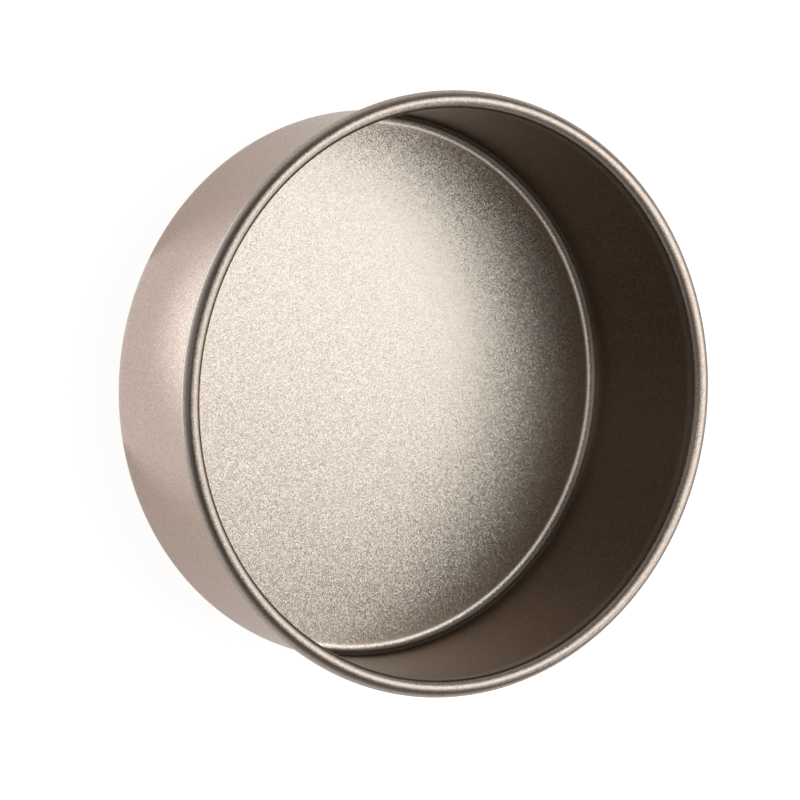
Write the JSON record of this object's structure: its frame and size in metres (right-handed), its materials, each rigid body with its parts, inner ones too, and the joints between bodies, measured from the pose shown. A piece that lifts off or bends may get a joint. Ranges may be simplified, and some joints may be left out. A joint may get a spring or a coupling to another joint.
{
  "type": "cake pan",
  "caption": "Round, straight-sided baking pan: a drawn shell with a flat base, a coved corner and a rim rolled outward round a stiffening wire, for baking cakes.",
  "frame": {"origin": "centre of the flat underside, on the surface that the pan stands on", "axes": "+Z along the pan's axis, up out of its mouth; X and Y are equal, because the pan is round"},
  "size_m": [0.216, 0.216, 0.071],
  "materials": {
    "champagne_coating": "satin metallic non-stick coating, champagne gold with a fine sparkle",
    "wire_steel": "bright drawn wire"
  },
  "bodies": {
    "root": {"pan_shell": "champagne_coating", "rim_wire": "wire_steel"}
  },
  "joints": []
}
